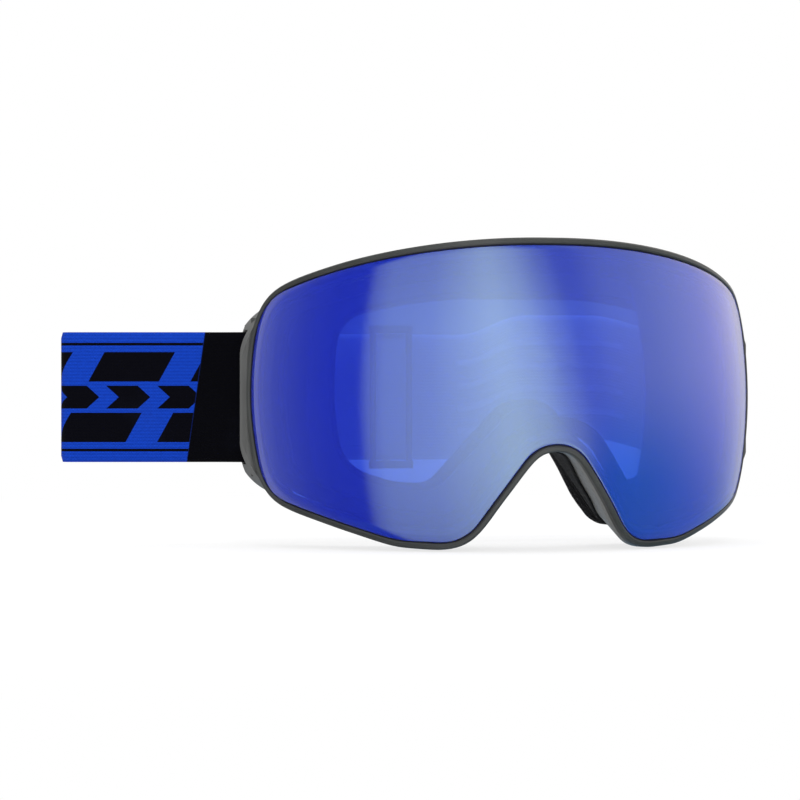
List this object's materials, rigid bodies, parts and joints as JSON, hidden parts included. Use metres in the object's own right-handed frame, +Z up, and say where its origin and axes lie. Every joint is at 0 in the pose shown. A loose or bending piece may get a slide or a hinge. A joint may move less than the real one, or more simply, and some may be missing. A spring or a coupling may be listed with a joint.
{
  "type": "ski goggles",
  "caption": "Ski goggles with a barrel-curved mirrored double lens in a vented frame, layered face foam, side wings and an adjustable printed strap folded behind them.",
  "frame": {"origin": "on the centre line, at the rear face of the face foam at its middle and at the height of the strap", "axes": "+X towards the wearer's left, which is the right of the goggles seen from the front; +Y rearwards, from the lens towards the wearer's face; +Z up"},
  "size_m": [0.2391, 0.1002, 0.1],
  "materials": {
    "outer_lens": "blue mirror coating, gloss",
    "inner_lens": "clear, gloss",
    "frame_dark": "satin dark grey",
    "frame_grey": "satin grey",
    "foam": "open-cell foam",
    "fleece": "short fleece",
    "seal": "matt",
    "bar": "plain",
    "strap": "woven elastic, printed",
    "hardware": "satin black",
    "grip": "clear silicone"
  },
  "bodies": {
    "root": {"outer_frame": "frame_dark", "inner_frame": "frame_grey", "face_plate": "frame_grey", "foam_base": "foam", "foam_middle": "foam", "foam_fleece": "fleece", "outer_lens": "outer_lens", "inner_lens": "inner_lens", "lens_seal": "seal", "lens_spacer": "foam", "top_vent_foam": "foam", "low_vent_foam_left": "foam", "low_vent_foam_right": "foam", "wing_left": "frame_dark", "wing_right": "frame_dark", "strap_bar_left": "bar", "strap_bar_right": "bar", "wing_pins": "bar", "strap_front": "strap", "strap_rear": "strap", "strap_return": "strap", "ring": "hardware", "grip_lines": "grip"},
    "slider_body": {"slider": "hardware", "strap_end": "strap"}
  },
  "joints": [
    {"name": "slider_slide", "type": "slide", "parent": "root", "child": "slider_body", "axis": [1, 0, 0], "range_m": [-0.016, 0.016], "deforming": ["strap_return"]}
  ]
}
